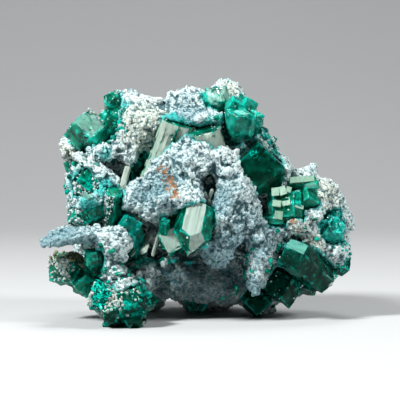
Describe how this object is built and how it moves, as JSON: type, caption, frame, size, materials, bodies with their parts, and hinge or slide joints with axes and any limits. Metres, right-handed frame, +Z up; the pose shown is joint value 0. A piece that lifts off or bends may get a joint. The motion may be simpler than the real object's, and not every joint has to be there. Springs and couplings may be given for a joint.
{
  "type": "dioptase mineral specimen",
  "caption": "Cluster of emerald dioptase crystals grown together in a pale blue-white grainy crust, standing on level feet.",
  "frame": {"origin": "centre of the bounding box's base, at the level the specimen stands on", "axes": "+X to the right in the picture's view, +Y away from the viewer, +Z up"},
  "size_m": [0.0854, 0.062, 0.066],
  "materials": {
    "crust": "dull grainy blue-white crust",
    "dioptase": "clear to frosted emerald green crystal"
  },
  "bodies": {
    "root": {"crust": "crust", "upper_left_cluster": "dioptase", "left_edge_cluster": "dioptase", "left_broken_crystal": "dioptase", "lower_left_cluster": "dioptase", "foot_cluster": "dioptase", "top_cluster": "dioptase", "gap_prism": "dioptase", "striated_prisms": "dioptase", "right_rhomb": "dioptase", "right_step_cluster": "dioptase", "front_prism": "dioptase", "far_right_cluster": "dioptase", "lower_right_cluster": "dioptase", "base_plates": "dioptase", "back_left_cluster": "dioptase", "back_top_cluster": "dioptase", "back_right_cluster": "dioptase", "back_low_cluster": "dioptase"}
  },
  "joints": []
}
